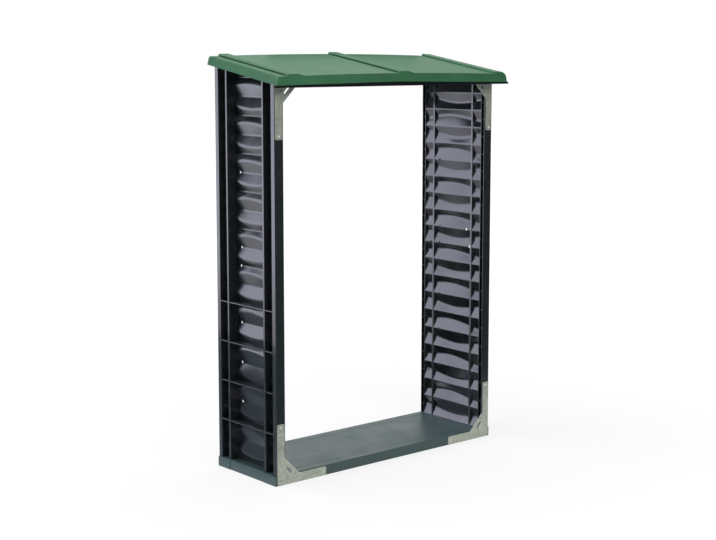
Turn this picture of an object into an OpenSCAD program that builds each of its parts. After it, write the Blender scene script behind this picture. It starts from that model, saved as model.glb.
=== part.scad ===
// Log store, open at the front and the back.
// Two waved side panels stand on a low base with a deck, steel corner plates stiffen the front,
// and a roof in two halves falls towards the front.
// The origin is on the ground under the middle of the roof. The front faces -Y, sizes are in millimetres.

/* [Base] */
// Width of the base across the front
base_w = 1290; // [1000:2:1700]
// Depth of the base from front to back
base_d = 425; // [360:1:600]
// Height of the base from the ground to the deck
base_h = 45; // [36:1:70]
// Wall thickness of the base mouldings
base_wall = 4; // [3:0.5:6]
// Length of a corner block along the side of the base
corner_l = 88; // [70:1:120]
// Width of a corner block across the front of the base
corner_w = 66; // [56:1:90]
// Setback of the side rails from the outside of the corner blocks
rail_setback = 2; // [0:0.5:3.5]
// Depth of the front and back sills
sill_d = 48; // [30:1:80]
// Thickness of the deck
deck_t = 8; // [5:0.5:14]
// Width of a bearer under the deck
bearer_w = 30; // [20:1:60]
// Number of bearers under the deck
bearer_count = 5; // [3:2:9]

/* [Side panels] */
// Setback of the side panels from the outside of the base
panel_setback = 6; // [4:0.5:8]
// Thickness of a side panel from its outer rim to its inner face
panel_t = 47; // [40:1:60]
// Width of a stile along the side of the store
stile_w = 24; // [18:1:36]
// Wall thickness of the stiles
stile_wall = 4; // [3:0.5:6]
// Thickness of the small webs inside the stiles
web_t = 3; // [2:0.5:5]
// Setback of the small webs from the mouth of the stile
web_setback = 3; // [1:0.5:8]
// Distance from the front or back edge of a panel to its upright rib
rib_at = 77; // [60:1:100]
// Width of an upright rib
rib_w = 11; // [6:1:16]
// Thickness of the waved sheet
sheet_t = 3.5; // [2.5:0.5:5]
// Depth of the folds in the waved sheet, from ridge to valley
fold_depth = 15; // [8:1:22]
// Drop of a valley line below the ridge line above it
valley_drop = 39; // [36:1:48]
// Rise and fall of a valley line along the panel
wave_swing = 15; // [4:1:18]
// Length of one wave along the panel
wave_l = 470; // [320:10:700]
// Distance of a wave's crest from the middle of the panel, forwards and backwards in turn
wave_shift = 20; // [0:1:60]
// Height of a course in the lower part of a panel
lower_pitch = 88.5; // [76:0.5:100]
// Number of courses in the lower part of a panel
lower_courses = 8; // [4:2:12]
// Height of a course in the upper part of a panel
upper_pitch = 81.5; // [76:0.5:100]
// Thickness of the cross ribs in the lower part of a panel
cross_rib_t = 5; // [3:0.5:8]

/* [Top rails] */
// Height of the front and back top rails
top_rail_h = 38; // [28:1:50]
// Depth of the top rails
top_rail_d = 40; // [24:1:60]
// Wall thickness of the top rails
top_rail_wall = 4; // [3:0.5:6]

/* [Corner plates] */
// Length of each leg of a corner plate
plate_leg = 266; // [200:1:340]
// Width of each leg
plate_w = 38; // [28:1:40]
// Thickness of the steel
plate_t = 3; // [2:0.5:5]
// Radius of the corners of a leg
plate_r = 8; // [3:0.5:12]
// Reach of the gusset along both legs, from the plate's outer corner
gusset_reach = 156; // [130:1:190]
// Length of the slot in the gusset
slot_l = 38; // [20:1:44]
// Width of the slot
slot_w = 9; // [5:0.5:12]
// Distance of the slot's middle from both outer edges
slot_at = 61; // [56:1:66]
// Diameter of the screw holes
hole_d = 6; // [4:0.5:8]
// Distance of the corner hole from both outer edges
hole_at = 19; // [12:0.5:24]
// Distance of the end hole from the end of a leg
end_hole_at = 14; // [10:0.5:24]
// Setback of a plate from the outside of the base
plate_setback = 9; // [6:0.5:14]
// Lift of the lower plates above the ground
plate_lift = 3; // [1:0.5:6]

/* [Roof] */
// Height of the front eave above the ground
eave_z = 1702; // [1400:1:2000]
// Fall of the roof towards the front, in degrees
roof_slope = 9.5; // [5:0.5:14]
// Overhang of the roof past the front of the base
front_overhang = 65; // [50:1:120]
// Overhang of the roof past each side of the base
side_overhang = 28; // [20:1:90]
// Gap between the back of the base and the roof's back skirt
back_gap = 1; // [0.5:0.5:10]
// Height of the skirt round the roof
skirt_h = 36; // [28:1:50]
// Thickness of the skirt
skirt_t = 4; // [3:0.5:6]
// Thickness of the roof sheet
roof_t = 4; // [3:0.5:6]
// Rise of the roof's crown above its two ends
camber_h = 10; // [0:0.5:20]
// Lean of the end skirts, from the bottom edge to the top edge
skirt_lean = 8; // [2:0.5:14]
// Rounding of the roof's top edges
edge_r = 7; // [3:0.5:9]
// Height of the raised bands
band_h = 9; // [6:0.5:14]
// Height of a band's upright lip
band_lip = 5.5; // [5:0.5:6]
// Height of the gap under a band's lip
lip_gap_h = 4; // [2:0.5:4]
// Depth of the gap under a band's lip
lip_gap_d = 8; // [4:0.5:10]
// Distance from the front and the back of the roof to the ends of that gap
lip_gap_at = 24; // [12:1:60]
// Width of the slope above a band's lip
band_step = 6; // [3:0.5:12]
// Width of the flat top of a band
band_flat = 46; // [20:1:52]
// Width of the ramp on the far side of a band
band_ramp = 34; // [16:1:60]
// Distance of the left band from the left end of the roof
left_band_at = 58; // [30:1:90]
// Distance of the right band's lip from the right end of the roof
right_band_at = 83; // [80:1:110]
// Length of the left half's tongue under the right half
tongue_l = 36; // [20:1:42]
// Height of the drip strip under the front skirt
drip_h = 9; // [4:0.5:12]
// Depth of the drip strip
drip_d = 12; // [8:0.5:20]
// Reach of the drip strip past each end of the skirt
drip_reach = 9; // [0:0.5:20]

/* [Hidden] */
$fn = 48;

// Clearance between pieces that seat on each other
seat = 0.3;
// Overlap that carries a cut past the face it cuts
past = 1;
// Length that is taller or wider than any piece, for cutting
far = 4000;

// Sides of the store
LEFT = -1;
RIGHT = 1;

// Colours of the mouldings and the steel
BASE_BLACK = "#20272a";
PANEL_BLACK = "#17191b";
RAIL_BLACK = "#1b2023";
ROOF_GREEN = "#4c7a5e";
GALVANISED = "#a6aba1";

// Places in plan, with the roof's middle at the origin
roof_w = base_w + 2 * side_overhang;
roof_d = front_overhang + base_d + back_gap + skirt_t;
roof_front_y = -roof_d / 2;
front_y = roof_front_y + front_overhang;
back_y = front_y + base_d;
panel_x = base_w / 2 - panel_setback;
inner_x = panel_x - panel_t;
deck_x = base_w / 2 - corner_w;
roof_end_x = roof_w / 2;

// Heights
eave_top = eave_z + skirt_h;
lower_top = base_h + lower_courses * lower_pitch;

// Height of the roof's crown above its ends, at a place across the front
function camber(x) = camber_h * (1 - pow(x / roof_end_x, 2));
// Height of the panels' top, which seats under the roof, at a distance behind the base's front
function panel_top(y) =
    eave_top + (y + front_overhang) * tan(roof_slope) - roof_t + camber(panel_x) - seat;

// Ridge lines of the waved sheet: level ones up the panel, and the last one along the roof
upper_courses = floor((panel_top(0) - lower_top - edge_r) / upper_pitch);
courses = lower_courses + upper_courses + 1;
function ridge_z(k, y) =
    k <= lower_courses ? base_h + k * lower_pitch
    : k < courses ? lower_top + (k - lower_courses) * upper_pitch
    : panel_top(y);
// Valley lines swing and shift one way in odd courses and the other way in even ones
function turn(k) = k % 2 == 0 ? 1 : -1;
function crest_y(k) = base_d / 2 - turn(k) * wave_shift;
function valley_share(k, y) =
    (valley_drop + turn(k) * wave_swing * cos(360 * (y - crest_y(k)) / wave_l)) / upper_pitch;
function valley_z(k, y) =
    ridge_z(k + 1, y) - valley_share(k, y) * (ridge_z(k + 1, y) - ridge_z(k, y));

// Moves a left side's piece to its side. It is drawn with X from the panel's outer rim inwards
// and Y from the front of the base backwards.
module on_side(side) {
    mirror([side == RIGHT ? 1 : 0, 0, 0])
        translate([-panel_x, front_y, 0])
            children();
}

// Turns a front piece of a panel to the panel's back edge
module at_edge(back) {
    translate([0, back ? base_d : 0, 0])
        mirror([0, back ? 1 : 0, 0])
            children();
}

// Space of a side panel: above the base and under the roof's slope
module panel_space() {
    rotate([90, 0, 90])
        linear_extrude(panel_t)
            polygon([[0, base_h], [base_d, base_h], [base_d, panel_top(base_d)], [0, panel_top(0)]]);
}

// Section of a moulding that is open at the bottom, along Y
module open_bottom_section(w, h, wall) {
    difference() {
        square([w, h]);
        translate([wall, -past])
            square([w - 2 * wall, h - wall + past]);
    }
}

// Moulding open at the bottom that runs along X between two places
module bar_along_x(x0, x1, y, z, d, h, wall) {
    translate([x0, y, z])
        rotate([90, 0, 90])
            linear_extrude(x1 - x0)
                open_bottom_section(d, h, wall);
}

module sill(y) {
    color(BASE_BLACK)
        bar_along_x(-deck_x, deck_x, y, 0, sill_d, base_h, base_wall);
}

module base_front_sill() {
    sill(front_y);
}

module base_back_sill() {
    sill(back_y - sill_d);
}

// Side rail of the base, between the corner blocks
module side_rail(side) {
    rail_w = corner_w - rail_setback;
    color(BASE_BLACK)
        mirror([side == RIGHT ? 1 : 0, 0, 0])
            translate([-base_w / 2 + rail_setback, back_y - corner_l, 0])
                rotate([90, 0, 0])
                    linear_extrude(base_d - 2 * corner_l)
                        open_bottom_section(rail_w, base_h, base_wall);
}

module base_left_rail() {
    side_rail(LEFT);
}

module base_right_rail() {
    side_rail(RIGHT);
}

// Corner block of the base, a box open at the bottom
module corner_block(side, back) {
    color(BASE_BLACK)
        mirror([side == RIGHT ? 1 : 0, 0, 0])
            translate([-base_w / 2, front_y, 0])
                at_edge(back)
                    difference() {
                        cube([corner_w, corner_l, base_h]);
                        translate([base_wall, base_wall, -past])
                            cube([corner_w - 2 * base_wall, corner_l - 2 * base_wall, base_h - base_wall + past]);
                    }
}

module base_front_left_corner() {
    corner_block(LEFT, false);
}

module base_front_right_corner() {
    corner_block(RIGHT, false);
}

module base_back_left_corner() {
    corner_block(LEFT, true);
}

module base_back_right_corner() {
    corner_block(RIGHT, true);
}

// Half of the deck, flush with the sills
module deck_half(side) {
    color(BASE_BLACK)
        translate([side == LEFT ? -deck_x : 0, front_y + sill_d, base_h - deck_t])
            cube([deck_x, base_d - 2 * sill_d, deck_t]);
}

module deck_left() {
    deck_half(LEFT);
}

module deck_right() {
    deck_half(RIGHT);
}

// Bearers that stand on the ground under the deck, one of them under its middle joint
module deck_bearers() {
    spacing = 2 * deck_x / bearer_count;
    color(BASE_BLACK)
        for (i = [0 : bearer_count - 1])
            translate([(i - (bearer_count - 1) / 2) * spacing - bearer_w / 2, front_y + sill_d, 0])
                cube([bearer_w, base_d - 2 * sill_d, base_h - deck_t]);
}

// Channel section of a stile, open towards the bay
module stile_section() {
    difference() {
        square([panel_t, stile_w]);
        translate([stile_wall, stile_wall])
            square([panel_t, stile_w - 2 * stile_wall]);
    }
}

// Small webs across the inside of a stile, one in the middle of each course
module stile_webs() {
    for (k = [0 : courses - 2])
        translate([stile_wall, stile_wall, (ridge_z(k, 0) + ridge_z(k + 1, 0) - web_t) / 2])
            cube([panel_t - stile_wall - web_setback, stile_w - 2 * stile_wall, web_t]);
}

module stile(side, back) {
    color(PANEL_BLACK)
        on_side(side)
            intersection() {
                at_edge(back)
                    union() {
                        linear_extrude(far)
                            stile_section();
                        stile_webs();
                    }
                panel_space();
            }
}

module left_front_stile() {
    stile(LEFT, false);
}

module left_back_stile() {
    stile(LEFT, true);
}

module right_front_stile() {
    stile(RIGHT, false);
}

module right_back_stile() {
    stile(RIGHT, true);
}

// Upright rib through the whole thickness of a panel
module upright_rib(side, back) {
    color(PANEL_BLACK)
        on_side(side)
            intersection() {
                at_edge(back)
                    translate([0, rib_at, 0])
                        cube([panel_t, rib_w, far]);
                panel_space();
            }
}

module left_front_rib() {
    upright_rib(LEFT, false);
}

module left_back_rib() {
    upright_rib(LEFT, true);
}

module right_front_rib() {
    upright_rib(RIGHT, false);
}

module right_back_rib() {
    upright_rib(RIGHT, true);
}

// Fields of a panel between its stiles and ribs: start, end and number of steps along the waves
rib_end = rib_at + rib_w;
FIELDS = [
    [stile_w, rib_at, 2],
    [rib_end, base_d - rib_end, 10],
    [base_d - rib_at, base_d - stile_w, 2]
];

// Waved sheet of one field. Its inner face folds out to the ridge lines at the panel's inner face
// and back to the valley lines, and its outer face follows at the sheet's thickness.
module waved_sheet(y0, y1, steps) {
    rows = 2 * courses;
    columns = steps + 1;
    grid = (rows + 1) * columns;
    function along(c) = y0 + (y1 - y0) * c / steps;
    function height(r, y) = r % 2 == 0 ? ridge_z(r / 2, y) : valley_z((r - 1) / 2, y);
    function fold_x(r) = panel_t - (r % 2 == 0 ? 0 : fold_depth);
    function at(face, r, c) = face * grid + r * columns + c;
    points = [
        for (face = [0, 1])
            for (r = [0 : rows])
                for (c = [0 : steps])
                    [fold_x(r) - face * sheet_t, along(c), height(r, along(c))]
    ];
    function quad(a, b, c, d) = [[a, b, c], [a, c, d]];
    inner = [
        for (r = [0 : rows - 1])
            for (c = [0 : steps - 1])
                each quad(at(0, r, c), at(0, r + 1, c), at(0, r + 1, c + 1), at(0, r, c + 1))
    ];
    outer = [
        for (r = [0 : rows - 1])
            for (c = [0 : steps - 1])
                each quad(at(1, r, c), at(1, r, c + 1), at(1, r + 1, c + 1), at(1, r + 1, c))
    ];
    ends = [
        for (r = [0 : rows - 1])
            each concat(
                quad(at(0, r, 0), at(1, r, 0), at(1, r + 1, 0), at(0, r + 1, 0)),
                quad(at(0, r, steps), at(0, r + 1, steps), at(1, r + 1, steps), at(1, r, steps))
            )
    ];
    top_and_bottom = [
        for (c = [0 : steps - 1])
            each concat(
                quad(at(0, 0, c), at(0, 0, c + 1), at(1, 0, c + 1), at(1, 0, c)),
                quad(at(0, rows, c), at(1, rows, c), at(1, rows, c + 1), at(0, rows, c + 1))
            )
    ];
    polyhedron(points, concat(inner, outer, ends, top_and_bottom));
}

module waved_panel(side) {
    color(PANEL_BLACK)
        on_side(side)
            for (field = FIELDS)
                waved_sheet(field[0], field[1], field[2]);
}

module left_waved_panel() {
    waved_panel(LEFT);
}

module right_waved_panel() {
    waved_panel(RIGHT);
}

// Cross ribs on the outside of a panel, at every second ridge line of its lower part.
// Each one ends just clear of the sheet, which folds away from the ridge line on both sides.
module cross_ribs(side) {
    short_fold = min(valley_drop, lower_pitch - valley_drop) - wave_swing;
    reach = panel_t - sheet_t - fold_depth * cross_rib_t / 2 / short_fold - seat;
    color(PANEL_BLACK)
        on_side(side)
            for (k = [2 : 2 : lower_courses])
                for (field = FIELDS)
                    translate([0, field[0], ridge_z(k, 0) - cross_rib_t / 2])
                        cube([reach, field[1] - field[0], cross_rib_t]);
}

module left_cross_ribs() {
    cross_ribs(LEFT);
}

module right_cross_ribs() {
    cross_ribs(RIGHT);
}

// Top rail between the panels, with its front edge at a distance behind the base's front
module top_rail(y) {
    color(RAIL_BLACK)
        bar_along_x(-inner_x, inner_x, front_y + y, panel_top(y) - top_rail_h, top_rail_d, top_rail_h, top_rail_wall);
}

module front_top_rail() {
    top_rail(0);
}

module back_top_rail() {
    top_rail(base_d - top_rail_d);
}

// Leg with rounded corners, along X from the plate's outer corner
module plate_leg_outline() {
    translate([plate_r, 0])
        square([plate_leg - 2 * plate_r, plate_w]);
    translate([0, plate_r])
        square([plate_leg, plate_w - 2 * plate_r]);
    for (x = [plate_r, plate_leg - plate_r])
        for (y = [plate_r, plate_w - plate_r])
            translate([x, y])
                circle(plate_r);
}

module slot_outline() {
    translate([slot_at, slot_at])
        rotate(-45) {
            square([slot_l - slot_w, slot_w], center = true);
            for (end = [-1, 1])
                translate([end * (slot_l - slot_w) / 2, 0])
                    circle(d = slot_w);
        }
}

// Outline of a corner plate: two legs, a gusset across their inner corner, a slot and screw holes
module plate_outline() {
    difference() {
        union() {
            plate_leg_outline();
            mirror([1, -1])
                plate_leg_outline();
            polygon([
                [plate_w / 2, plate_w / 2],
                [gusset_reach - plate_w / 2, plate_w / 2],
                [plate_w / 2, gusset_reach - plate_w / 2]
            ]);
        }
        slot_outline();
        translate([hole_at, hole_at])
            circle(d = hole_d);
        for (swap = [false, true])
            mirror([swap ? 1 : 0, swap ? -1 : 0])
                translate([plate_leg - end_hole_at, plate_w / 2])
                    circle(d = hole_d);
    }
}

// Corner plate on the front of the store, in the corner of one side, at the bottom or the top
module corner_plate(side, top) {
    color(GALVANISED)
        mirror([side == RIGHT ? 1 : 0, 0, 0])
            translate([-base_w / 2 + plate_setback, front_y, top ? panel_top(0) - plate_lift : plate_lift])
                mirror([0, 0, top ? 1 : 0])
                    rotate([90, 0, 0])
                        linear_extrude(plate_t)
                            plate_outline();
}

module top_left_plate() {
    corner_plate(LEFT, true);
}

module top_right_plate() {
    corner_plate(RIGHT, true);
}

module bottom_left_plate() {
    corner_plate(LEFT, false);
}

module bottom_right_plate() {
    corner_plate(RIGHT, false);
}

// Points of the roof's section across the front. Heights are upright ones, measured from the top of
// the skirt at the roof's ends, and the camber is added to them all.
CAMBER_STEPS = 8;
function level_points(x0, x1) = [for (i = [1 : CAMBER_STEPS]) [x0 + (x1 - x0) * i / CAMBER_STEPS, 0]];
function band_points(x) = [
    [x, 0],
    [x, band_lip],
    [x + band_step, band_h],
    [x + band_step + band_flat, band_h],
    [x + band_step + band_flat + band_ramp, 0]
];
function under_band_points(x) = [
    [x + lip_gap_d + roof_t, -roof_t],
    [x + lip_gap_d + roof_t, band_h - roof_t],
    [x + band_step + band_flat, band_h - roof_t],
    [x + band_step + band_flat + band_ramp, -roof_t]
];
function end_points(side) = [
    [side * roof_end_x, -skirt_h],
    [side * (roof_end_x - skirt_lean), -edge_r],
    [side * (roof_end_x - skirt_lean - edge_r), 0]
];
function under_end_points(side) = [
    [side * (roof_end_x - skirt_t), -far],
    [side * (roof_end_x - skirt_t), -skirt_h],
    [side * (roof_end_x - skirt_lean - skirt_t), -edge_r],
    [side * (roof_end_x - skirt_lean - edge_r), -roof_t]
];
function reversed(list) = [for (i = [len(list) - 1 : -1 : 0]) list[i]];
function cambered(points) = [for (p = points) [p.x, p.y + camber(p.x)]];
function lowered(points) = [for (p = points) [p.x, p.y - roof_t]];

left_band_x = -roof_end_x + left_band_at;
left_band_end = left_band_x + band_step + band_flat + band_ramp;
centre_band_end = band_step + band_flat + band_ramp;
right_band_x = roof_end_x - right_band_at;

LEFT_SECTION = cambered(concat(
    end_points(LEFT),
    band_points(left_band_x),
    level_points(left_band_end, 0),
    [[0, -skirt_h]]
));
LEFT_HOLLOW = cambered(concat(
    under_end_points(LEFT),
    under_band_points(left_band_x),
    lowered(level_points(left_band_end, past)),
    [[past, -far]]
));
RIGHT_SECTION = cambered(concat(
    [[0, -skirt_h]],
    band_points(0),
    level_points(centre_band_end, right_band_x),
    [
        [right_band_x, band_lip],
        [right_band_x + band_step, band_h],
        [right_band_x + band_step + band_flat, band_h]
    ],
    reversed(end_points(RIGHT))
));
RIGHT_HOLLOW = cambered(concat(
    [[-past, -far], [-past, 0], [roof_t, 0]],
    [
        [band_step + roof_t, band_h - roof_t],
        [band_step + band_flat, band_h - roof_t],
        [centre_band_end, -roof_t]
    ],
    lowered(level_points(centre_band_end, right_band_x + roof_t)),
    [
        [right_band_x + roof_t, band_lip - roof_t],
        [right_band_x + band_step + roof_t, band_h - roof_t],
        [right_band_x + band_step + band_flat, band_h - roof_t]
    ],
    reversed(under_end_points(RIGHT))
));
TONGUE_SECTION = cambered([[-past, -roof_t], [-past, -seat], [tongue_l, -seat], [tongue_l, -roof_t]]);

// Solid with a section across the front that runs along the slope, past the front and the back
module roof_block(section) {
    translate([0, roof_front_y, eave_top])
        rotate([roof_slope, 0, 0])
            translate([0, roof_d / cos(roof_slope) + far / 10, 0])
                rotate([90, 0, 0])
                    linear_extrude(roof_d / cos(roof_slope) + far / 5)
                        polygon([for (p = section) [p.x, p.y * cos(roof_slope)]]);
}

// Box in plan, inset from the roof's front and back
module roof_plan(x0, x1, inset) {
    translate([x0, roof_front_y + inset, 0])
        cube([x1 - x0, roof_d - 2 * inset, far]);
}

// Lid of one half of the roof, hollowed from below
module roof_lid(x0, x1, section, hollow) {
    difference() {
        intersection() {
            roof_plan(x0, x1, 0);
            roof_block(section);
        }
        intersection() {
            roof_plan(x0 - past, x1 + past, skirt_t);
            roof_block(hollow);
        }
    }
}

// Gap under a band's lip, which stops a little short of the roof's front and back
module lip_gap(x) {
    intersection() {
        roof_plan(x - 2 * past, x + far, lip_gap_at);
        roof_block(
            cambered([
                [x - past, -seat],
                [x - past, lip_gap_h],
                [x + lip_gap_d, lip_gap_h],
                [x + lip_gap_d, -seat]
            ])
        );
    }
}

module roof_left_half() {
    color(ROOF_GREEN)
        union() {
            difference() {
                roof_lid(-roof_end_x, 0, LEFT_SECTION, LEFT_HOLLOW);
                lip_gap(left_band_x);
            }
            intersection() {
                roof_plan(-past, tongue_l, skirt_t + seat);
                roof_block(TONGUE_SECTION);
            }
        }
}

module roof_right_half() {
    color(ROOF_GREEN)
        difference() {
            roof_lid(0, roof_end_x, RIGHT_SECTION, RIGHT_HOLLOW);
            lip_gap(0);
        }
}

// Dark strip that runs under the whole front skirt and a little past its ends
module roof_drip_strip() {
    color(RAIL_BLACK)
        translate([-roof_end_x - drip_reach, roof_front_y, eave_z - drip_h])
            cube([roof_w + 2 * drip_reach, drip_d, drip_h]);
}

base_front_sill();
base_back_sill();
base_left_rail();
base_right_rail();
base_front_left_corner();
base_front_right_corner();
base_back_left_corner();
base_back_right_corner();
deck_left();
deck_right();
deck_bearers();
left_front_stile();
left_back_stile();
left_front_rib();
left_back_rib();
left_waved_panel();
left_cross_ribs();
right_front_stile();
right_back_stile();
right_front_rib();
right_back_rib();
right_waved_panel();
right_cross_ribs();
front_top_rail();
back_top_rail();
top_left_plate();
top_right_plate();
bottom_left_plate();
bottom_right_plate();
roof_left_half();
roof_right_half();
roof_drip_strip();
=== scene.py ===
# Looks of an open-fronted log store, built on its packed frame and laid out as an add-on.
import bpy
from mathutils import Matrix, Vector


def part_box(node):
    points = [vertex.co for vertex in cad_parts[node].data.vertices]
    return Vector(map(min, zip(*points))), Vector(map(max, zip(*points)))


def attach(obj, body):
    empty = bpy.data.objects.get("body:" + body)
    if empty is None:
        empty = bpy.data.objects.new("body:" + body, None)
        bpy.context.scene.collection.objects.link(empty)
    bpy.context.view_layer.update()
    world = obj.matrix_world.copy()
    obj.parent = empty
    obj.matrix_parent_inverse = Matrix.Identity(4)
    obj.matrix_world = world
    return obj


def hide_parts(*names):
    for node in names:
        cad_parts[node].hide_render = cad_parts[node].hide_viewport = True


bl_info = {
    "name": "Log store",
    "version": (1, 0, 0),
    "blender": (4, 5, 0),
    "location": "3D View > Sidebar > Log store",
    "description": "Builds the base, waved side panels, corner plates, roof and studio of a log store",
    "category": "Object",
}

import math

import bmesh
import bpy
from bpy.props import FloatProperty, FloatVectorProperty, IntProperty, PointerProperty
from mathutils import Matrix, Vector

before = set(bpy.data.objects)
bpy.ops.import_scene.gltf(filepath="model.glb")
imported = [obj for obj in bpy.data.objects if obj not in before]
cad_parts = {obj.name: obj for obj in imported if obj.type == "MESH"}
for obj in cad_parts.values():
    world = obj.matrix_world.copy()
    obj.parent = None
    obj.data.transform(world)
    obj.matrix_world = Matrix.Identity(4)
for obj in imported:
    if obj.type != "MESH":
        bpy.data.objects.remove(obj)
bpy.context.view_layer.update()        # the construction, which stays where it is

BODY = "root"
MM = 0.001
IMAGE_W = 716
IMAGE_H = 540
WHITE = (1.0, 1.0, 1.0, 1.0)
PLATES = [f"{end}_{side}_plate" for end in ("top", "bottom") for side in ("left", "right")]

# Vertices closer than this are one, and faces within the flat angle are one face
WELD = 0.01 * MM
FLAT_ANGLE = math.radians(0.05)
SHARP_ANGLE = math.radians(35)

# Tone of black mouldings where they are rubbed or hold dust; on their edges it is partly a painted highlight
WORN_AND_HIGHLIGHT_BLACK = "#585b5c"


def linear(code):
    """Linear colour of an sRGB hex value."""
    parts = [int(code[i:i + 2], 16) / 255 for i in (1, 3, 5)]
    return tuple(p / 12.92 if p <= 0.04045 else ((p + 0.055) / 1.055) ** 2.4 for p in parts)


def opaque(colour):
    """Colour with full alpha, as shader sockets take it."""
    return (*colour, 1.0)


def per_metre(size_mm):
    """Scale of a pattern whose features are that many millimetres apart."""
    return 1.0 / (size_mm * MM)


def length(name, description, size_mm):
    """Property for a length, with its default in millimetres."""
    return FloatProperty(
        name=name, description=description, default=size_mm * MM, min=0.0, unit="LENGTH"
    )


def count(name, description, number, least):
    """Property for a whole number."""
    return IntProperty(name=name, description=description, default=number, min=least)


def plain(name, description, number):
    """Property for a number without a unit."""
    return FloatProperty(name=name, description=description, default=number)


def angle(name, description, degrees):
    """Property for an angle, with its default in degrees."""
    return FloatProperty(
        name=name, description=description, default=math.radians(degrees), subtype="ANGLE"
    )


def colour(name, description, code):
    """Property for a colour, with its default as an sRGB hex value."""
    return FloatVectorProperty(
        name=name, description=description, default=linear(code), min=0.0, max=1.0, subtype="COLOR"
    )


class PanelSizes(bpy.types.PropertyGroup):
    """Sizes of the waved sheets in the side panels."""

    fold_depth: length("Fold depth", "Depth from a ridge line to a valley line", 15)
    valley_drop: length("Valley drop", "Drop of a valley line below the ridge line above it", 39)
    wave_swing: length("Wave swing", "Rise and fall of a valley line along the panel", 15)
    wave_length: length("Wave length", "Length of one wave along the panel", 470)
    wave_shift: length("Wave shift", "Distance of a wave's crest from the middle of the panel", 20)
    lower_pitch: length("Lower pitch", "Height of a course in the lower part", 88.5)
    upper_pitch: length("Upper pitch", "Height of a course in the upper part", 81.5)
    lower_courses: count("Lower courses", "Courses in the lower part", 8, 1)
    top_margin: length("Top margin", "Least height of the course under the roof", 7)
    sheet: length("Sheet", "Thickness of the waved sheet", 3.5)
    ridge_round: length("Ridge rounding", "Reach of the rounding at a ridge line", 6)
    valley_round: length("Valley rounding", "Reach of the rounding at a valley line", 12)
    wave_steps: count("Wave steps", "Steps along the wide field", 40, 4)
    hole_d: length("Holes", "Diameter of the small holes along the ridge lines", 12)


class EdgeSizes(bpy.types.PropertyGroup):
    """Roundings that moulding and rolling leave on the edges."""

    base: length("Base edges", "Rounding of the base mouldings", 2.0)
    panel: length("Panel edges", "Rounding of the stiles and ribs", 1.4)
    rail: length("Rail edges", "Rounding of the top rails", 2.0)
    strip: length("Strip edges", "Rounding of the strip under the roof's front skirt", 0.4)
    roof: length("Roof edges", "Rounding of the roof's halves", 1.0)
    plate: length("Plate edges", "Rounding of the steel plates", 0.5)


class ScrewSizes(bpy.types.PropertyGroup):
    """Sizes of the flanged screws in the corner plates."""

    end_distance: length("End distance", "From the end of a leg to its screw", 14)
    edge_distance: length("Edge distance", "From the long edge of a leg to its screw", 19)
    flange_d: length("Flange", "Diameter of the pressed flange", 13)
    flange_h: length("Flange height", "Thickness of the pressed flange", 1.2)
    head_d: length("Head", "Diameter of the domed head", 9)
    head_h: length("Head height", "Height of the domed head above the flange", 2.8)
    drive_d: length("Drive", "Diameter of the drive recess", 4)
    shank_d: length("Shank", "Diameter of the shank in its hole", 5)


class Finishes(bpy.types.PropertyGroup):
    """Colours of the mouldings, the steel and the floor."""

    panel_black: colour("Panel black", "Carbon-black polypropylene of the side panels", "#0d1315")
    base_black: colour("Base black", "Slate-black polypropylene of the base", "#375657")
    roof_green: colour("Roof green", "Pigmented polypropylene of the roof", "#3a714d")
    zinc_grey: colour("Zinc grey", "Hot-dip galvanised steel of the plates", "#c4cbbd")
    screw_grey: colour("Screw grey", "Zinc-plated steel of the screws", "#f6f6f0")
    floor_white: colour("Floor white", "Matt paint of the studio floor", "#efefed")


class Studio(bpy.types.PropertyGroup):
    """Camera and light of the studio."""

    camera_place: FloatVectorProperty(
        name="Camera place", description="Place of the camera",
        default=(-4.177, -4.880, 1.825), subtype="TRANSLATION"
    )
    camera_turn: angle("Camera turn", "Turn of the view from straight back to the right", 40.36)
    camera_dip: angle("Camera dip", "Dip of the view below level", 7.41)
    focal_pixels: plain("Focal length", "Focal length in image pixels", 1420.5)
    axis_row: plain("Axis row", "Image row that the lens axis meets", 240.0)
    room_level: plain("Room level", "Light of the dim room round the set", 0.15)
    backdrop_level: plain("Backdrop level", "Light of the white backdrop", 1.0)


GROUPS = {
    "store_panels": PanelSizes,
    "store_edges": EdgeSizes,
    "store_screws": ScrewSizes,
    "store_finishes": Finishes,
    "store_studio": Studio,
}


def add_node(tree, kind, inputs=None, **settings):
    """Adds a node to a tree, with its settings, and sets or links its inputs."""
    node = tree.nodes.new("ShaderNode" + kind)
    for name, value in settings.items():
        setattr(node, name, value)
    for name, value in (inputs or {}).items():
        if isinstance(value, bpy.types.NodeSocket):
            tree.links.new(value, node.inputs[name])
        else:
            node.inputs[name].default_value = value
    return node


def empty_material(name):
    """New material with an empty tree, and its tree."""
    material = bpy.data.materials.new(name)
    material.use_nodes = True
    material.node_tree.nodes.clear()
    return material, material.node_tree


def mirrored_rays(tree, rays):
    """Socket that is 1 for rays that come by way of a reflection or through a clear piece."""
    return add_node(tree, "Math", {
        0: rays.outputs["Is Glossy Ray"], 1: rays.outputs["Is Transmission Ray"]
    }, operation="MAXIMUM").outputs[0]


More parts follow.
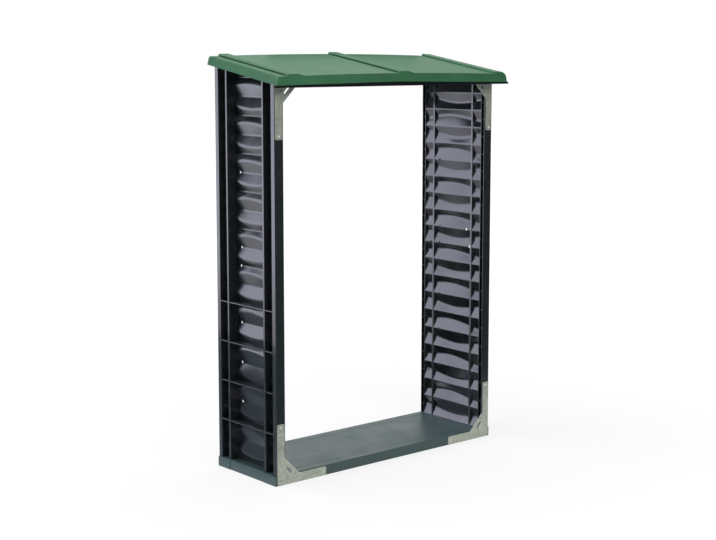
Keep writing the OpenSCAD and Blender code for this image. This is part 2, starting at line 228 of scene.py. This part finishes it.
def moulded_polypropylene(name, tone, worn_and_highlight_tone, rub_and_highlight, cloud_mm, streak_mm, roughness, shader):
    """Injection-moulded polypropylene.

    The steel mould leaves a satin skin with a fine grain, the melt's flow leaves faint clouds and long
    streaks in its gloss, corners are painted paler, partly as rub and partly as a painted highlight, and
    ledges hold some dust.
    """
    material, tree = empty_material(name)
    place = add_node(tree, "TexCoord").outputs["Object"]
    clouds = add_node(tree, "TexNoise", {"Vector": place, "Scale": per_metre(cloud_mm), "Detail": 3.0})
    drawn_out = add_node(tree, "VectorMath", {
        0: place, 1: [per_metre(size) for size in streak_mm]}, operation="MULTIPLY")
    streaks = add_node(tree, "TexNoise", {"Vector": drawn_out.outputs[0], "Scale": 1.0, "Detail": 4.0})
    flow = add_node(tree, "Math", {
        0: clouds.outputs["Fac"], 1: streaks.outputs["Fac"]}, operation="ADD")
    # The mould's spark grain is about 0.3 mm, and is drawn at 5 mm so that it shows
    grain = add_node(tree, "TexNoise", {"Vector": place, "Scale": per_metre(5), "Detail": 4.0})
    scuffs = add_node(tree, "TexNoise", {
        "Vector": place, "Scale": per_metre(22), "Detail": 6.0, "Roughness": 0.7})

    surface = add_node(tree, "NewGeometry")
    # Convex edges are painted towards the pale tone, partly as rub and partly as a painted highlight
    rubbed_and_highlit = add_node(tree, "MapRange", {
        "Value": surface.outputs["Pointiness"], "From Min": 0.51, "From Max": 0.60, "To Max": rub_and_highlight})
    scuffed_and_highlit = add_node(tree, "Math", {
        0: rubbed_and_highlit.outputs[0], 1: scuffs.outputs["Fac"]}, operation="MULTIPLY")
    facing = add_node(tree, "SeparateXYZ", {"Vector": surface.outputs["Normal"]})
    ledge = add_node(tree, "MapRange", {
        "Value": facing.outputs["Z"], "From Min": 0.6, "From Max": 1.0, "To Max": 0.35})
    dust = add_node(tree, "Math", {0: ledge.outputs[0], 1: scuffs.outputs["Fac"]}, operation="MULTIPLY")
    wear_dust_and_highlight = add_node(tree, "Math", {
        0: scuffed_and_highlit.outputs[0], 1: dust.outputs[0]}, operation="ADD", use_clamp=True)

    clouded = add_node(tree, "MapRange", {
        "Value": flow.outputs[0], "From Min": 0.7, "From Max": 1.3, "To Min": 0.82, "To Max": 1.15})
    shade = add_node(tree, "VectorMath", {
        0: tone, 1: clouded.outputs[0]}, operation="MULTIPLY")
    skin = add_node(tree, "Mix", {
        0: wear_dust_and_highlight.outputs[0], 6: shade.outputs[0], 7: opaque(worn_and_highlight_tone)}, data_type="RGBA")
    rough = add_node(tree, "MapRange", {
        "Value": flow.outputs[0], "From Min": 0.7, "From Max": 1.3,
        "To Min": roughness[0], "To Max": roughness[1]})
    relief = add_node(tree, "Bump", {"Height": grain.outputs["Fac"], "Strength": 0.12, "Distance": 0.4 * MM})
    skin_shader = add_node(tree, "BsdfPrincipled", {
        "Base Color": skin.outputs[2], "Roughness": rough.outputs[0], "Normal": relief.outputs[0], **shader})
    add_node(tree, "OutputMaterial", {"Surface": skin_shader.outputs[0]})
    return material


def panel_polypropylene(finishes):
    """Black moulded polypropylene, glossier than the base, which mirrors pale surroundings in bands."""
    # Its edges are painted strongly towards the pale tone, partly as rub and partly as a painted highlight
    # on the rims
    return moulded_polypropylene(
        "moulded_black_polypropylene", finishes.panel_black, linear(WORN_AND_HIGHLIGHT_BLACK), 0.8, 90, (40, 6, 160),
        (0.18, 0.28),
        {"IOR": 1.55, "Specular IOR Level": 1.0, "Specular Tint": opaque(linear("#f0f1ff"))},
    )


def rail_polypropylene(finishes):
    """Black moulded polypropylene with a duller skin, of the rails and strip in the roof's shade."""
    return moulded_polypropylene(
        "moulded_dull_black_polypropylene", finishes.panel_black, linear(WORN_AND_HIGHLIGHT_BLACK), 0.0, 90,
        (160, 20, 20), (0.40, 0.50), {"IOR": 1.5, "Specular IOR Level": 0.3},
    )


def base_polypropylene(finishes):
    """Slate-black moulded polypropylene with a satin skin that looks a little blue-green in a white room."""
    return moulded_polypropylene(
        "moulded_slate_polypropylene", finishes.base_black, linear("#5d696a"), 0.5, 70, (160, 160, 8),
        (0.36, 0.50), {"IOR": 1.5, "Specular IOR Level": 0.6},
    )


def roof_polypropylene(finishes):
    """Green moulded polypropylene with a satin skin, which turns pale where it is seen along its face."""
    return moulded_polypropylene(
        "moulded_green_polypropylene", finishes.roof_green, linear("#7ba48a"), 0.15, 140, (700, 22, 22),
        (0.44, 0.56), {"IOR": 1.5, "Specular IOR Level": 0.2},
    )


def galvanised_steel(finishes):
    """Hot-dip galvanised sheet steel.

    The zinc freezes in flat crystals of about 10 mm that each catch the light their own way, under a
    dull oxide.
    """
    material, tree = empty_material("hot_dip_galvanised_steel")
    place = add_node(tree, "TexCoord").outputs["Object"]
    warp = add_node(tree, "TexNoise", {"Vector": place, "Scale": per_metre(15), "Detail": 2.0})
    bent = add_node(tree, "VectorMath", {
        0: warp.outputs["Color"], 1: (4 * MM, 4 * MM, 4 * MM), 2: place}, operation="MULTIPLY_ADD")
    spangle = add_node(tree, "TexVoronoi", {"Vector": bent.outputs[0], "Scale": per_metre(10)})
    crystal = add_node(tree, "SeparateColor", {"Color": spangle.outputs["Color"]})
    shine = add_node(tree, "MapRange", {"Value": crystal.outputs[0], "To Min": 0.84, "To Max": 1.08})
    oxide = add_node(tree, "TexNoise", {"Vector": place, "Scale": per_metre(35), "Detail": 5.0})
    dull = add_node(tree, "MapRange", {
        "Value": oxide.outputs["Fac"], "From Min": 0.35, "From Max": 0.7, "To Min": 1.04, "To Max": 0.88})
    level = add_node(tree, "Math", {0: shine.outputs[0], 1: dull.outputs[0]}, operation="MULTIPLY")
    zinc = add_node(tree, "VectorMath", {0: finishes.zinc_grey, 1: level.outputs[0]}, operation="MULTIPLY")
    rough = add_node(tree, "MapRange", {"Value": crystal.outputs[1], "To Min": 0.42, "To Max": 0.58})
    relief = add_node(tree, "Bump", {"Height": crystal.outputs[2], "Strength": 0.08, "Distance": 0.2 * MM})
    skin = add_node(tree, "BsdfPrincipled", {
        "Base Color": zinc.outputs[0], "Roughness": rough.outputs[0], "Normal": relief.outputs[0],
        "Metallic": 0.45})
    add_node(tree, "OutputMaterial", {"Surface": skin.outputs[0]})
    return material


def zinc_plated_steel(finishes):
    """Bright zinc-plated cold-headed steel, with a thin pale film and darker handling marks."""
    material, tree = empty_material("zinc_plated_steel")
    place = add_node(tree, "TexCoord").outputs["Object"]
    marks = add_node(tree, "TexNoise", {"Vector": place, "Scale": per_metre(3), "Detail": 4.0})
    level = add_node(tree, "MapRange", {"Value": marks.outputs["Fac"], "To Min": 0.8, "To Max": 1.05})
    zinc = add_node(tree, "VectorMath", {0: finishes.screw_grey, 1: level.outputs[0]}, operation="MULTIPLY")
    rough = add_node(tree, "MapRange", {"Value": marks.outputs["Fac"], "To Min": 0.25, "To Max": 0.4})
    skin = add_node(tree, "BsdfPrincipled", {
        "Base Color": zinc.outputs[0], "Roughness": rough.outputs[0], "Metallic": 0.3})
    add_node(tree, "OutputMaterial", {"Surface": skin.outputs[0]})
    return material


def floor_paint(finishes):
    """Matt white floor paint, rolled on.

    Seen straight or in a reflection it is lifted towards white, less so near the store, where shadows stay.
    """
    material, tree = empty_material("matt_white_floor_paint")
    place = add_node(tree, "TexCoord").outputs["Object"]
    roller = add_node(tree, "TexNoise", {"Vector": place, "Scale": per_metre(300), "Detail": 2.0})
    level = add_node(tree, "MapRange", {"Value": roller.outputs["Fac"], "To Min": 0.985, "To Max": 1.015})
    paint = add_node(tree, "VectorMath", {
        0: finishes.floor_white, 1: level.outputs[0]}, operation="MULTIPLY")
    matt = add_node(tree, "BsdfDiffuse", {"Color": paint.outputs[0]})
    lift = add_node(tree, "Emission", {"Color": WHITE, "Strength": 1.1})
    rays = add_node(tree, "LightPath")
    seen = add_node(tree, "Math", {
        0: rays.outputs["Is Camera Ray"], 1: mirrored_rays(tree, rays)}, operation="MAXIMUM")
    away = add_node(tree, "VectorMath", {0: place}, operation="LENGTH")
    whiter = add_node(tree, "MapRange", {
        "Value": away.outputs["Value"], "From Min": 1.2, "From Max": 4.0, "To Min": 0.72, "To Max": 1.0})
    share = add_node(tree, "Math", {0: seen.outputs[0], 1: whiter.outputs[0]}, operation="MULTIPLY")
    both = add_node(tree, "MixShader", {0: share.outputs[0], 1: matt.outputs[0], 2: lift.outputs[0]})
    add_node(tree, "OutputMaterial", {"Surface": both.outputs[0]})
    return material


def add_object(name, mesh, material):
    """New object of a mesh with one material, in the scene."""
    mesh.materials.clear()
    mesh.materials.append(material)
    piece = bpy.data.objects.new(name, mesh)
    bpy.context.scene.collection.objects.link(piece)
    return piece


def dress(name, mesh, material, slot, *nodes):
    """New piece of the store that stands for nodes of the frame."""
    piece = add_object(name, mesh, material)
    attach(piece, BODY)
    if nodes:
        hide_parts(*nodes)
    return piece


def mesh_of(form, name):
    """Mesh of an edit form, shaded smooth across its shallow edges. The form is used up."""
    mesh = bpy.data.meshes.new(name)
    form.to_mesh(mesh)
    form.free()
    mesh.shade_smooth()
    mesh.set_sharp_from_angle(angle=SHARP_ANGLE)
    return mesh


def rounded_piece(node, kind, material, slot, rounding, segments=3):
    """Piece in the shape of a frame node, with its flat faces made whole and its sharp edges rounded."""
    form = bmesh.new()
    form.from_mesh(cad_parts[node].data)
    bmesh.ops.remove_doubles(form, verts=form.verts, dist=WELD)
    bmesh.ops.dissolve_limit(form, angle_limit=FLAT_ANGLE, verts=form.verts, edges=form.edges)
    name = f"{node}_{kind}"
    piece = dress(name, mesh_of(form, name), material, slot, node)
    bevel = piece.modifiers.new("edge_rounding", "BEVEL")
    bevel.width = rounding
    bevel.segments = segments
    bevel.limit_method = "ANGLE"
    bevel.angle_limit = SHARP_ANGLE
    bevel.harden_normals = True
    return piece


def round_corner(before, corner, after, reach, steps):
    """Points of a curve that leaves one leg of a corner and joins the other, both at a reach from it."""
    start = corner + (before - corner).normalized() * reach
    end = corner + (after - corner).normalized() * reach
    points = []
    for i in range(steps + 1):
        t = i / steps
        points.append(start * (1 - t) ** 2 + corner * 2 * t * (1 - t) + end * t ** 2)
    return points


def cut_mesh(mesh, tool):
    """Mesh less the space of a cutting mesh."""
    pair = [bpy.data.objects.new("cut", part) for part in (mesh, tool)]
    for part in pair:
        bpy.context.scene.collection.objects.link(part)
    cut = pair[0].modifiers.new("cut", "BOOLEAN")
    cut.object = pair[1]
    cut.solver = "EXACT"
    depsgraph = bpy.context.evaluated_depsgraph_get()
    result = bpy.data.meshes.new_from_object(pair[0].evaluated_get(depsgraph))
    for part in pair:
        bpy.data.objects.remove(part)
    result.shade_smooth()
    result.set_sharp_from_angle(angle=SHARP_ANGLE)
    return result


class WavedSheet:
    """Places of the ridge and valley lines of one side panel, in the frame."""

    CORNER_STEPS = 4
    HOLE_SIDES = 24
    LEAST_STEPS = 4
    # Largest share of a fold's shorter leg that a rounding takes
    ROUND_SHARE = 0.4
    # Ridge line of each small hole, a half being between two, and its millimetres behind the front face
    # of the front or back rib
    HOLES = [(3, "back", -36), (5, "back", -36), (7, "back", -36), (10, "back", -36), (11, "back", -42),
             (15, "back", -36), (2.5, "back", 43), (10, "back", 23), (10, "front", 17), (11, "front", 39)]

    def __init__(self, side, sizes):
        self.sizes = sizes
        self.front_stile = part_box(f"{side}_front_stile")
        self.back_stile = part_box(f"{side}_back_stile")
        self.front_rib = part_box(f"{side}_front_rib")
        self.back_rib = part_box(f"{side}_back_rib")
        low, high = self.front_stile
        self.inwards = 1 if side == "left" else -1
        self.inner_x = high.x if side == "left" else low.x
        self.bottom = low.z
        self.front_y = low.y
        self.middle_y = (low.y + self.back_stile[1].y) / 2
        self.lower_top = self.bottom + sizes.lower_courses * sizes.lower_pitch
        room = self.top(self.front_y) - self.lower_top - sizes.top_margin
        self.courses = sizes.lower_courses + int(room / sizes.upper_pitch) + 1

    def top(self, y):
        """Height of the panel's top, which follows the roof's slope."""
        front, back = self.front_stile[1], self.back_stile[1]
        return front.z + (y - front.y) * (back.z - front.z) / (back.y - front.y)

    def ridge(self, k, y):
        if k <= self.sizes.lower_courses:
            return self.bottom + k * self.sizes.lower_pitch
        if k < self.courses:
            return self.lower_top + (k - self.sizes.lower_courses) * self.sizes.upper_pitch
        return self.top(y)

    def valley(self, k, y):
        turn = 1 if k % 2 == 0 else -1
        from_crest = y - self.middle_y + turn * self.sizes.wave_shift
        swing = self.sizes.wave_swing * math.cos(2 * math.pi * from_crest / self.sizes.wave_length)
        drop = self.sizes.valley_drop + turn * swing
        rise = self.ridge(k + 1, y) - self.ridge(k, y)
        return self.ridge(k + 1, y) - drop / self.sizes.upper_pitch * rise

    def profile(self, y):
        """Points of the sheet's inner face up the panel at one place along it, as depth and height."""
        corners = [Vector((0.0, self.ridge(0, y)))]
        for k in range(self.courses):
            corners.append(Vector((self.sizes.fold_depth, self.valley(k, y))))
            corners.append(Vector((0.0, self.ridge(k + 1, y))))
        points = [corners[0]]
        for i in range(1, len(corners) - 1):
            reach = self.sizes.valley_round if i % 2 else self.sizes.ridge_round
            legs = min((corners[i] - corners[i - 1]).length, (corners[i + 1] - corners[i]).length)
            reach = min(reach, self.ROUND_SHARE * legs)
            points += round_corner(corners[i - 1], corners[i], corners[i + 1], reach, self.CORNER_STEPS)
        return points + [corners[-1]]

    def fields(self):
        """Stretches of the panel between its stiles and ribs, with the steps along each."""
        wide = (self.front_rib[1].y, self.back_rib[0].y)
        step = (wide[1] - wide[0]) / self.sizes.wave_steps
        narrow = [(self.front_stile[1].y, self.front_rib[0].y), (self.back_rib[1].y, self.back_stile[0].y)]
        spans = (narrow[0], wide, narrow[1])
        return [(a, b, max(self.LEAST_STEPS, round((b - a) / step))) for a, b in spans]

    def hole_tool(self):
        """Form that cuts the small holes through the sheet."""
        form = bmesh.new()
        ribs = {"front": self.front_rib[0].y, "back": self.back_rib[0].y}
        for k, rib, behind in self.HOLES:
            y = ribs[rib] + behind * MM
            centre = Vector((self.inner_x, y, self.ridge(k, y)))
            along_x = Matrix.Translation(centre) @ Matrix.Rotation(math.pi / 2, 4, "Y")
            radius = self.sizes.hole_d / 2
            bmesh.ops.create_cone(
                form, cap_ends=True, segments=self.HOLE_SIDES, radius1=radius, radius2=radius,
                depth=4 * self.sizes.fold_depth, matrix=along_x
            )
        return form

    def add_field(self, form, y0, y1, steps):
        """Adds the closed sheet of one field: its inner face, its outer face and the edges between them."""
        faces = []
        for offset in (0.0, self.sizes.sheet):
            grid = []
            for c in range(steps + 1):
                y = y0 + (y1 - y0) * c / steps
                grid.append([
                    form.verts.new((self.inner_x - self.inwards * (p.x + offset), y, p.y))
                    for p in self.profile(y)
                ])
            faces.append(grid)
        inner, outer = faces
        rows = len(inner[0])
        for grid in faces:
            for c in range(steps):
                for r in range(rows - 1):
                    form.faces.new((grid[c][r], grid[c + 1][r], grid[c + 1][r + 1], grid[c][r + 1]))
        for c in (0, steps):
            for r in range(rows - 1):
                form.faces.new((inner[c][r], inner[c][r + 1], outer[c][r + 1], outer[c][r]))
        for r in (0, rows - 1):
            for c in range(steps):
                form.faces.new((inner[c][r], inner[c + 1][r], outer[c + 1][r], outer[c][r]))


def screw_form(sizes):
    """Edit form of a flanged, domed screw with a lobed drive, seated at the origin, its head along -Y."""
    turns = 36
    lobes = 6
    lobe_depth = 0.12
    flange, head = sizes.flange_d / 2, sizes.head_d / 2
    drive, shank = sizes.drive_d / 2, sizes.shank_d / 2
    top = sizes.flange_h + sizes.head_h
    # Radius, height above the seat and depth of the lobes, from the hidden shank to the drive's floor
    outline = [
        (shank, 0.0, 0.0),
        (flange - 0.4 * MM, 0.0, 0.0),
        (flange, 0.4 * MM, 0.0),
        (flange - 0.3 * MM, sizes.flange_h * 0.8, 0.0),
        (head + 0.6 * MM, sizes.flange_h, 0.0),
        (head, sizes.flange_h + 0.5 * MM, 0.0),
        (head - 0.5 * MM, top - 1.0 * MM, 0.0),
        (head - 1.5 * MM, top - 0.2 * MM, 0.0),
        (drive + 0.5 * MM, top, 0.0),
        (drive, top - 0.3 * MM, lobe_depth),
        (drive * 0.9, sizes.flange_h + 0.4 * MM, lobe_depth),
    ]
    form = bmesh.new()
    rings = []
    for radius, height, lobe in outline:
        ring = []
        for i in range(turns):
            turn = 2 * math.pi * i / turns
            r = radius * (1 + lobe * math.cos(lobes * turn))
            ring.append(form.verts.new((r * math.cos(turn), -height, r * math.sin(turn))))
        rings.append(ring)
    for low, high in zip(rings, rings[1:]):
        for i in range(turns):
            j = (i + 1) % turns
            form.faces.new((low[i], low[j], high[j], high[i]))
    form.faces.new(rings[0])
    form.faces.new(rings[-1])
    bmesh.ops.recalc_face_normals(form, faces=form.faces)
    return form


class STORE_OT_base(bpy.types.Operator):
    """Dresses the sills, side rails, corner blocks, deck and bearers"""

    bl_idname = "log_store.base"
    bl_label = "Base"

    def execute(self, context):
        slate = base_polypropylene(context.scene.store_finishes)
        rounding = context.scene.store_edges.base
        corners = [f"base_{end}_{side}_corner" for end in ("front", "back") for side in ("left", "right")]
        bars = ["base_front_sill", "base_back_sill", "base_left_rail", "base_right_rail"]
        for node in bars + corners + ["deck_left", "deck_right", "deck_bearers"]:
            rounded_piece(node, "moulding", slate, "base_plastic", rounding)
        return {"FINISHED"}


class STORE_OT_panels(bpy.types.Operator):
    """Dresses the side panels: stiles, ribs, cross ribs and waved sheets"""

    bl_idname = "log_store.panels"
    bl_label = "Side panels"

    def execute(self, context):
        black = panel_polypropylene(context.scene.store_finishes)
        rounding = context.scene.store_edges.panel
        for side in ("left", "right"):
            for part in ("front_stile", "back_stile", "front_rib", "back_rib", "cross_ribs"):
                rounded_piece(f"{side}_{part}", "moulding", black, "panel_plastic", rounding)
            sheet = WavedSheet(side, context.scene.store_panels)
            form = bmesh.new()
            for y0, y1, steps in sheet.fields():
                sheet.add_field(form, y0, y1, steps)
            bmesh.ops.recalc_face_normals(form, faces=form.faces)
            name = f"{side}_waved_sheet"
            mesh = cut_mesh(mesh_of(form, name), mesh_of(sheet.hole_tool(), "hole_tool"))
            dress(name, mesh, black, "panel_plastic", f"{side}_waved_panel")
        return {"FINISHED"}


def drip_wedge():
    """Mesh of the flat wedge that fills the arched gap between the drip strip and the roof's front skirt."""
    strip_low, strip_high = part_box("roof_drip_strip")
    skirt_low, skirt_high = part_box("roof_right_half")
    at_lap = [v.co.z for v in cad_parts["roof_right_half"].data.vertices
              if v.co.x < skirt_low.x + WELD and v.co.y < skirt_low.y + WELD]
    outline = [(-skirt_high.x, strip_high.z), (skirt_high.x, strip_high.z), (skirt_low.x, min(at_lap))]
    form = bmesh.new()
    ends = [[form.verts.new((x, y, z)) for x, z in outline] for y in (strip_low.y, strip_high.y)]
    for end in ends:
        form.faces.new(end)
    for i in range(3):
        j = (i + 1) % 3
        form.faces.new((ends[0][i], ends[0][j], ends[1][j], ends[1][i]))
    bmesh.ops.recalc_face_normals(form, faces=form.faces)
    return mesh_of(form, "roof_drip_wedge")


class STORE_OT_top_rails(bpy.types.Operator):
    """Dresses the front and back top rails and the strip under the roof's front skirt"""

    bl_idname = "log_store.top_rails"
    bl_label = "Top rails"

    def execute(self, context):
        black = rail_polypropylene(context.scene.store_finishes)
        edges = context.scene.store_edges
        for node in ("front_top_rail", "back_top_rail"):
            rounded_piece(node, "moulding", black, "panel_plastic", edges.rail)
        rounded_piece("roof_drip_strip", "moulding", black, "panel_plastic", edges.strip)
        dress("roof_drip_wedge", drip_wedge(), black, "panel_plastic")
        return {"FINISHED"}


class STORE_OT_plates(bpy.types.Operator):
    """Dresses the steel corner plates"""

    bl_idname = "log_store.plates"
    bl_label = "Corner plates"

    def execute(self, context):
        zinc = galvanised_steel(context.scene.store_finishes)
        rounding = context.scene.store_edges.plate
        for node in PLATES:
            rounded_piece(node, "steel", zinc, "galvanised_steel", rounding, segments=2)
        return {"FINISHED"}


class STORE_OT_screws(bpy.types.Operator):
    """Adds the flanged screws at the ends of the corner plates' legs"""

    bl_idname = "log_store.screws"
    bl_label = "Screws"

    def execute(self, context):
        sizes = context.scene.store_screws
        zinc = zinc_plated_steel(context.scene.store_finishes)
        for node in PLATES:
            low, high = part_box(node)
            outer_x, inner_x = (low.x, high.x) if "left" in node else (high.x, low.x)
            outer_z, inner_z = (low.z, high.z) if "bottom" in node else (high.z, low.z)
            to_x = math.copysign(1, inner_x - outer_x)
            to_z = math.copysign(1, inner_z - outer_z)
            places = {
                "level": (inner_x - to_x * sizes.end_distance, outer_z + to_z * sizes.edge_distance),
                "upright": (outer_x + to_x * sizes.edge_distance, inner_z - to_z * sizes.end_distance),
            }
            for leg, (x, z) in places.items():
                form = screw_form(sizes)
                bmesh.ops.translate(form, verts=form.verts, vec=(x, low.y, z))
                name = f"{node}_{leg}_screw"
                dress(name, mesh_of(form, name), zinc, "galvanised_steel")
        return {"FINISHED"}


class STORE_OT_roof(bpy.types.Operator):
    """Dresses the two halves of the roof"""

    bl_idname = "log_store.roof"
    bl_label = "Roof"

    def execute(self, context):
        green = roof_polypropylene(context.scene.store_finishes)
        rounding = context.scene.store_edges.roof
        for node in ("roof_left_half", "roof_right_half"):
            rounded_piece(node, "moulding", green, "roof_plastic", rounding)
        return {"FINISHED"}


def add_lamp(name, place, target, width, height, radiance, colour_code):
    """Soft box of a given radiance, which the camera doesn't see."""
    light = bpy.data.lights.new(name, "AREA")
    light.shape = "RECTANGLE"
    light.size = width
    light.size_y = height
    light.energy = radiance * width * height * math.pi
    light.color = linear(colour_code)
    lamp = bpy.data.objects.new(name, light)
    lamp.location = place
    lamp.rotation_mode = "QUATERNION"
    lamp.rotation_quaternion = (Vector(target) - Vector(place)).to_track_quat("-Z", "Y")
    lamp.visible_camera = False
    bpy.context.scene.collection.objects.link(lamp)
    return lamp


def light_room(studio):
    """World of the studio: a dim room with a white backdrop behind the set, up to about 45 degrees."""
    world = bpy.data.worlds.new("studio_room")
    bpy.context.scene.world = world
    world.use_nodes = True
    tree = world.node_tree
    tree.nodes.clear()
    direction = add_node(tree, "TexCoord").outputs["Generated"]
    axes = add_node(tree, "SeparateXYZ", {"Vector": direction})
    # The backdrop fades out between these two heights above level
    full_to = math.sin(math.radians(38))
    gone_from = math.sin(math.radians(50))
    low = add_node(tree, "MapRange", {
        "Value": axes.outputs["Z"], "From Min": full_to, "From Max": gone_from,
        "To Min": 1.0, "To Max": 0.0}, interpolation_type="SMOOTHSTEP")
    behind = add_node(tree, "MapRange", {
        "Value": axes.outputs["Y"], "From Min": -0.5, "From Max": 0.1}, interpolation_type="SMOOTHSTEP")
    backdrop = add_node(tree, "Math", {0: low.outputs[0], 1: behind.outputs[0]}, operation="MULTIPLY")
    level = add_node(tree, "MapRange", {
        "Value": backdrop.outputs[0], "To Min": studio.room_level, "To Max": studio.backdrop_level})
    room = add_node(tree, "Background", {"Color": opaque(linear("#f6f8ff")), "Strength": level.outputs[0]})
    white = add_node(tree, "Background", {"Color": WHITE, "Strength": 1.0})
    rays = add_node(tree, "LightPath")
    mirrored_white = add_node(tree, "Math", {
        0: mirrored_rays(tree, rays), 1: backdrop.outputs[0]}, operation="MULTIPLY")
    seen = add_node(tree, "Math", {
        0: rays.outputs["Is Camera Ray"], 1: mirrored_white.outputs[0]}, operation="MAXIMUM")
    both = add_node(tree, "MixShader", {0: seen.outputs[0], 1: room.outputs[0], 2: white.outputs[0]})
    add_node(tree, "OutputWorld", {"Surface": both.outputs[0]})


def add_floor(finishes):
    """Round floor, wide enough to reach past any view of the store and a hair under its underside."""
    radius = 40.0
    form = bmesh.new()
    bmesh.ops.create_circle(form, cap_ends=True, segments=128, radius=radius)
    floor = add_object("studio_floor", mesh_of(form, "studio_floor"), floor_paint(finishes))
    floor.location.z = -0.5 * MM


def reflection_card_stock(name, code):
    """Matt dyed card with a faint fibre, for the cards that only paint reflections."""
    material, tree = empty_material(name)
    place = add_node(tree, "TexCoord").outputs["Object"]
    fibre = add_node(tree, "TexNoise", {"Vector": place, "Scale": per_metre(40), "Detail": 3.0})
    level = add_node(tree, "MapRange", {"Value": fibre.outputs["Fac"], "To Min": 0.8, "To Max": 1.2})
    dyed = add_node(tree, "VectorMath", {0: linear(code), 1: level.outputs[0]}, operation="MULTIPLY")
    matt = add_node(tree, "BsdfDiffuse", {"Color": dyed.outputs[0]})
    add_node(tree, "OutputMaterial", {"Surface": matt.outputs[0]})
    return material


def add_card(name, corners, material):
    """Card that only reflections show."""
    form = bmesh.new()
    form.faces.new([form.verts.new(corner) for corner in corners])
    card = add_object(name, mesh_of(form, name), material)
    card.visible_camera = False
    card.visible_diffuse = False
    card.visible_transmission = False
    card.visible_shadow = False


def level_card(name, z, outline, material):
    """Level card at a height, from the plan of its corners."""
    add_card(name, [(x, y, z) for x, y in outline], material)


def add_cards():
    """Cards round the store that only reflections show, which paint darker and paler bands into the
    reflections of its glossy folds, posts and rims.

    On the floor one lies in front, three behind, where the panels mirror the floor, and one beside the left
    panel, where another stands. Three flags hang where the upper folds look. They suit the camera's view.
    """
    # Black cards paint dark reflections, the slate card a blue-green reflection and the grey cards pale
    # reflections
    black = reflection_card_stock("reflection_black_card", "#262626")
    slate = reflection_card_stock("reflection_slate_card", "#3a5c5c")
    grey = reflection_card_stock("reflection_grey_card", "#aec0c5")
    low = 1 * MM
    high = 1.9
    level_card("front_card", low, [(-30, -36), (34, -36), (34, -0.75), (-30, -0.75)], slate)
    level_card("near_card", low, [(-0.28, 0.35), (0.9, 0.35), (-0.01, 1.45), (-1.2, 1.45)], black)
    level_card("back_card", low, [(-0.75, 1.45), (0.2, 1.45), (-0.5, 2.15), (-1.25, 2.25)], black)
    level_card("left_card", low, [(-1.25, 1.0), (-1.0, 1.0), (-1.35, 1.75), (-1.6, 1.75)], black)
    add_card("side_card", [
        (-0.9, -0.1, low), (-0.9, 0.8, low), (-0.9, 0.8, 0.52), (-0.9, -0.1, 0.52)], grey)
    level_card("foot_card", low, [(-0.9, -0.1), (-0.7, -0.1), (-0.7, 0.8), (-0.9, 0.8)], grey)
    level_card("left_flag", high, [(-0.66, -0.1), (-0.66, 0.65), (-1.75, 2.05), (-1.75, 1.3)], black)
    level_card("far_flag", high, [(-1.75, 1.3), (-1.75, 2.05), (-2.85, 3.56), (-2.85, 2.69)], grey)
    add_card("right_flag", [
        (-0.3, 0.3, 1.84), (0.62, 0.3, 1.53), (0.62, 0.3, high), (-0.3, 0.3, high)], black)


def add_camera(studio):
    """Camera at about the photograph's place, with a lens shift small enough for views from other sides."""
    lens = bpy.data.cameras.new("studio_camera")
    lens.sensor_width = 36.0
    lens.lens = studio.focal_pixels / IMAGE_W * lens.sensor_width
    lens.shift_y = (studio.axis_row - IMAGE_H / 2) / IMAGE_W
    camera = bpy.data.objects.new("studio_camera", lens)
    camera.location = studio.camera_place
    camera.rotation_euler = (math.pi / 2 - studio.camera_dip, 0.0, -studio.camera_turn)
    bpy.context.scene.collection.objects.link(camera)
    bpy.context.scene.camera = camera


class STORE_OT_stage(bpy.types.Operator):
    """Sets up the floor, the cards, the room's light, the soft boxes and the camera"""

    bl_idname = "log_store.stage"
    bl_label = "Stage"

    def execute(self, context):
        studio = context.scene.store_studio
        context.scene.view_settings.view_transform = "Standard"
        add_floor(context.scene.store_finishes)
        add_cards()
        light_room(studio)
        middle = (0.0, 0.0, 1.0)
        add_lamp("key_box", (-1.0, -3.6, 3.8), middle, 2.4, 2.4, 4.2, "#fffdf8")
        add_lamp("top_box", (0.0, 0.3, 5.0), middle, 3.0, 3.0, 2.2, "#ffffff")
        add_lamp("back_box", (-2.96, 3.52, 2.6), (0.0, 0.0, 1.6), 5.0, 5.2, 1.5, "#efefff")
        add_camera(studio)
        return {"FINISHED"}


class STORE_PT_sidebar(bpy.types.Panel):
    """Lists the steps that build the store and the sizes and colours they use"""

    bl_idname = "STORE_PT_sidebar"
    bl_label = "Log store"
    bl_space_type = "VIEW_3D"
    bl_region_type = "UI"
    bl_category = "Log store"

    def draw(self, context):
        for operator in OPERATORS:
            self.layout.operator(operator.bl_idname)
        for name, group in GROUPS.items():
            box = self.layout.box()
            box.label(text=group.__doc__)
            for key in group.__annotations__:
                box.prop(getattr(context.scene, name), key)


OPERATORS = [
    STORE_OT_base,
    STORE_OT_panels,
    STORE_OT_top_rails,
    STORE_OT_plates,
    STORE_OT_screws,
    STORE_OT_roof,
    STORE_OT_stage,
]
CLASSES = [*GROUPS.values(), *OPERATORS, STORE_PT_sidebar]


def register():
    for cls in CLASSES:
        bpy.utils.register_class(cls)
    for name, group in GROUPS.items():
        setattr(bpy.types.Scene, name, PointerProperty(type=group))


def unregister():
    for name in GROUPS:
        delattr(bpy.types.Scene, name)
    for cls in reversed(CLASSES):
        bpy.utils.unregister_class(cls)


def main():
    """Builds the store and its stage in order."""
    register()
    bpy.ops.log_store.base()
    bpy.ops.log_store.panels()
    bpy.ops.log_store.top_rails()
    bpy.ops.log_store.plates()
    bpy.ops.log_store.screws()
    bpy.ops.log_store.roof()
    bpy.ops.log_store.stage()


if __name__ == "__main__":
    main()
